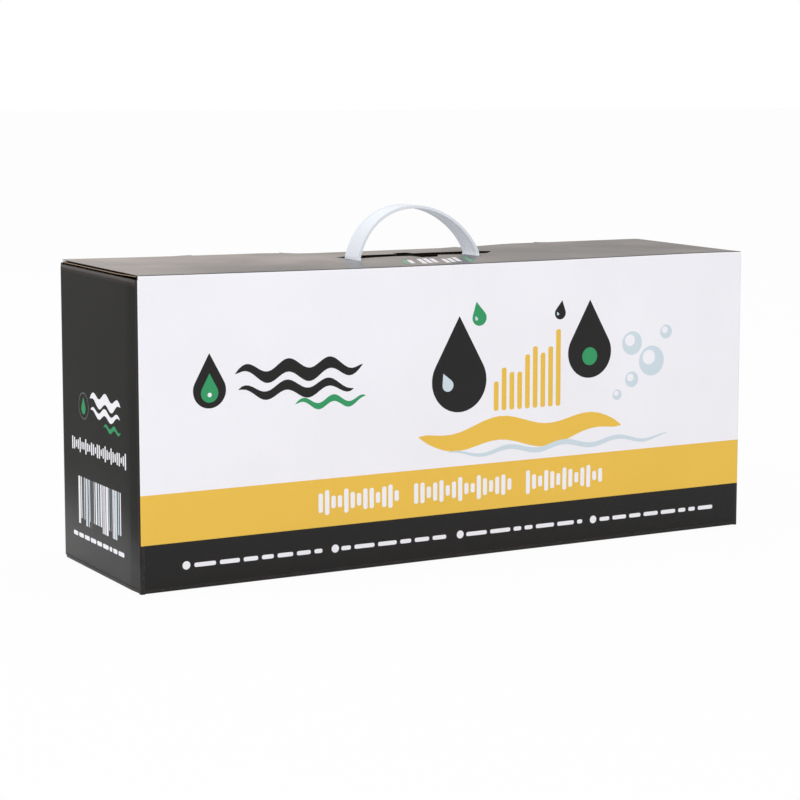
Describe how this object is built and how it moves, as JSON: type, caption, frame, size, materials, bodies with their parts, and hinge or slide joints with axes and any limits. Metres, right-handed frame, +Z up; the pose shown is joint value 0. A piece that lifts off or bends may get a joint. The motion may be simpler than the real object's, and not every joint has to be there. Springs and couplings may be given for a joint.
{
  "type": "boxed record washer kit",
  "caption": "Carry-handle carton of printed corrugated board, its lid flaps hinged, with a record washer kit of basin, rack, rollers, brushes, spray bottles and cloths packed inside.",
  "frame": {"origin": "middle of the carton's underside", "axes": "+X along the carton to its right end, -Y out of the printed front, +Z up"},
  "size_m": [0.42, 0.118, 0.211],
  "materials": {
    "front_print": "gloss laminate over white, yellow and black bands",
    "black_print": "gloss laminate over black",
    "plain_board": "bare corrugated board",
    "handle_plastic": "satin, injection moulded",
    "yellow_plastic": "semi-gloss, injection moulded",
    "pale_plastic": "satin",
    "roller_rubber": "matt",
    "brush_pile": "dense cut pile",
    "clear_plastic": "clear, blow moulded",
    "fluid": "clear pale blue fluid",
    "paper": "coated paper",
    "microfibre": "short looped pile"
  },
  "bodies": {
    "carton": {"back_panel": "front_print", "bottle_label_left": "paper", "bottle_label_right": "paper", "bottle_left": "clear_plastic", "bottle_right": "clear_plastic", "bottom_flap_inner": "plain_board", "bottom_flap_left": "plain_board", "bottom_flap_outer": "black_print", "bottom_flap_right": "plain_board", "brush_back_back": "yellow_plastic", "brush_back_front": "yellow_plastic", "brush_pile_back": "brush_pile", "brush_pile_front": "brush_pile", "cloth_left": "microfibre", "cloth_right": "microfibre", "fluid_left": "fluid", "fluid_right": "fluid", "front_panel": "front_print", "glue_tab": "plain_board", "leaflet": "paper", "left_panel": "black_print", "pump_collar_left": "pale_plastic", "pump_collar_right": "pale_plastic", "rack_base": "yellow_plastic", "rack_post_tips": "pale_plastic", "rack_posts_back": "yellow_plastic", "rack_posts_front": "yellow_plastic", "right_panel": "black_print", "wash_basin": "yellow_plastic"},
    "outer_flap": {"outer_flap": "black_print", "tuck_tab_left": "black_print", "tuck_tab_right": "black_print"},
    "inner_flap": {"inner_flap": "black_print"},
    "dust_flap_left": {"dust_flap_left": "plain_board"},
    "dust_flap_right": {"dust_flap_right": "plain_board"},
    "handle": {"carry_handle": "handle_plastic", "handle_end_left": "handle_plastic", "handle_end_right": "handle_plastic"},
    "roller_left": {"roller_left": "yellow_plastic", "roller_tyre_left": "roller_rubber"},
    "roller_right": {"roller_right": "yellow_plastic", "roller_tyre_right": "roller_rubber"},
    "spray_head_left": {"spray_head_left": "pale_plastic"},
    "spray_head_right": {"spray_head_right": "pale_plastic"},
    "bottle_cap_left": {"bottle_cap_left": "clear_plastic"},
    "bottle_cap_right": {"bottle_cap_right": "clear_plastic"}
  },
  "joints": [
    {"name": "outer_flap_hinge", "type": "hinge", "parent": "carton", "child": "outer_flap", "pos_m": [0, -0.059, 0.18], "axis": [1, 0, 0], "range_deg": [0, 210]},
    {"name": "inner_flap_hinge", "type": "hinge", "parent": "carton", "child": "inner_flap", "pos_m": [0, 0.059, 0.17815], "axis": [-1, 0, 0], "range_deg": [0, 105]},
    {"name": "dust_flap_left_hinge", "type": "hinge", "parent": "carton", "child": "dust_flap_left", "pos_m": [-0.21, 0, 0.1763], "axis": [0, -1, 0], "range_deg": [0, 105]},
    {"name": "dust_flap_right_hinge", "type": "hinge", "parent": "carton", "child": "dust_flap_right", "pos_m": [0.21, 0, 0.1763], "axis": [0, 1, 0], "range_deg": [0, 105]},
    {"name": "handle_press", "type": "slide", "parent": "inner_flap", "child": "handle", "axis": [0, 0, -1], "range_m": [0, 0.015], "stiffness_N_per_m": 150, "deforming": ["carry_handle"]},
    {"name": "roller_left_spin", "type": "hinge", "parent": "carton", "child": "roller_left", "pos_m": [-0.134, 0.026, 0.1361], "axis": [0, 1, 0], "continuous": true},
    {"name": "roller_right_spin", "type": "hinge", "parent": "carton", "child": "roller_right", "pos_m": [0.134, 0.026, 0.1361], "axis": [0, 1, 0], "continuous": true},
    {"name": "spray_head_left_press", "type": "slide", "parent": "carton", "child": "spray_head_left", "axis": [0, 0, -1], "range_m": [0, 0.0035], "stiffness_N_per_m": 400},
    {"name": "bottle_cap_left_lift", "type": "slide", "parent": "carton", "child": "bottle_cap_left", "axis": [0, 0, 1], "range_m": [0, 0.03]},
    {"name": "spray_head_right_press", "type": "slide", "parent": "carton", "child": "spray_head_right", "axis": [0, 0, -1], "range_m": [0, 0.0035], "stiffness_N_per_m": 400},
    {"name": "bottle_cap_right_lift", "type": "slide", "parent": "carton", "child": "bottle_cap_right", "axis": [0, 0, 1], "range_m": [0, 0.03]}
  ],
  "couplings": [
    {"joint": "inner_flap_hinge", "follows": "outer_flap_hinge", "ratio": 0.5},
    {"joint": "dust_flap_left_hinge", "follows": "outer_flap_hinge", "ratio": 0.5},
    {"joint": "dust_flap_right_hinge", "follows": "outer_flap_hinge", "ratio": 0.5}
  ]
}
